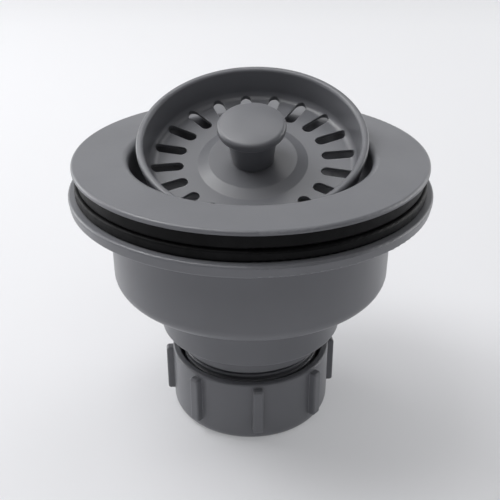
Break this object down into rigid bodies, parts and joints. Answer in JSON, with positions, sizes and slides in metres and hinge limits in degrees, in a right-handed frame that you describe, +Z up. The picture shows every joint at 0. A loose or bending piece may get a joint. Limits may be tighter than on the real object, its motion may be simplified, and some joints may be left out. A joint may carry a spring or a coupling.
{
  "type": "basket strainer waste",
  "caption": "Kitchen sink basket strainer waste: flanged cup with a lift-out slotted basket and knob, rubber gaskets, stepped bowl body and a ribbed outlet nut.",
  "frame": {"origin": "middle of the outlet nut's underside, on the axis of the waste", "axes": "+Z up along the axis of the waste, -Y towards the side that the basket leans down to"},
  "size_m": [0.1173, 0.1174, 0.112],
  "materials": {
    "grey_plastic": "satin dark grey",
    "black_rubber": "matt black",
    "steel": "plain",
    "brass": "plain"
  },
  "bodies": {
    "waste": {"waste_body": "grey_plastic", "pillar_insert": "brass", "body_gasket": "black_rubber", "flange_gasket": "black_rubber", "sink_flange": "grey_plastic", "clamp_screw": "steel", "strainer_basket": "grey_plastic", "basket_knob": "grey_plastic", "basket_stopper": "black_rubber", "stopper_washer": "steel", "stopper_screw": "steel"},
    "seal": {"outlet_washer": "black_rubber"},
    "nut": {"outlet_nut": "grey_plastic"}
  },
  "joints": [
    {"name": "nut_travel", "type": "slide", "parent": "waste", "child": "seal", "axis": [0, 0, 1], "range_m": [0, 0.0077]},
    {"name": "nut_turn", "type": "hinge", "parent": "seal", "child": "nut", "pos_m": [0, 0, 0], "axis": [0, 0, 1], "range_deg": [0, 1201]}
  ],
  "couplings": [
    {"joint": "nut_turn", "follows": "nut_travel", "rad_per_m": 2721.2}
  ]
}
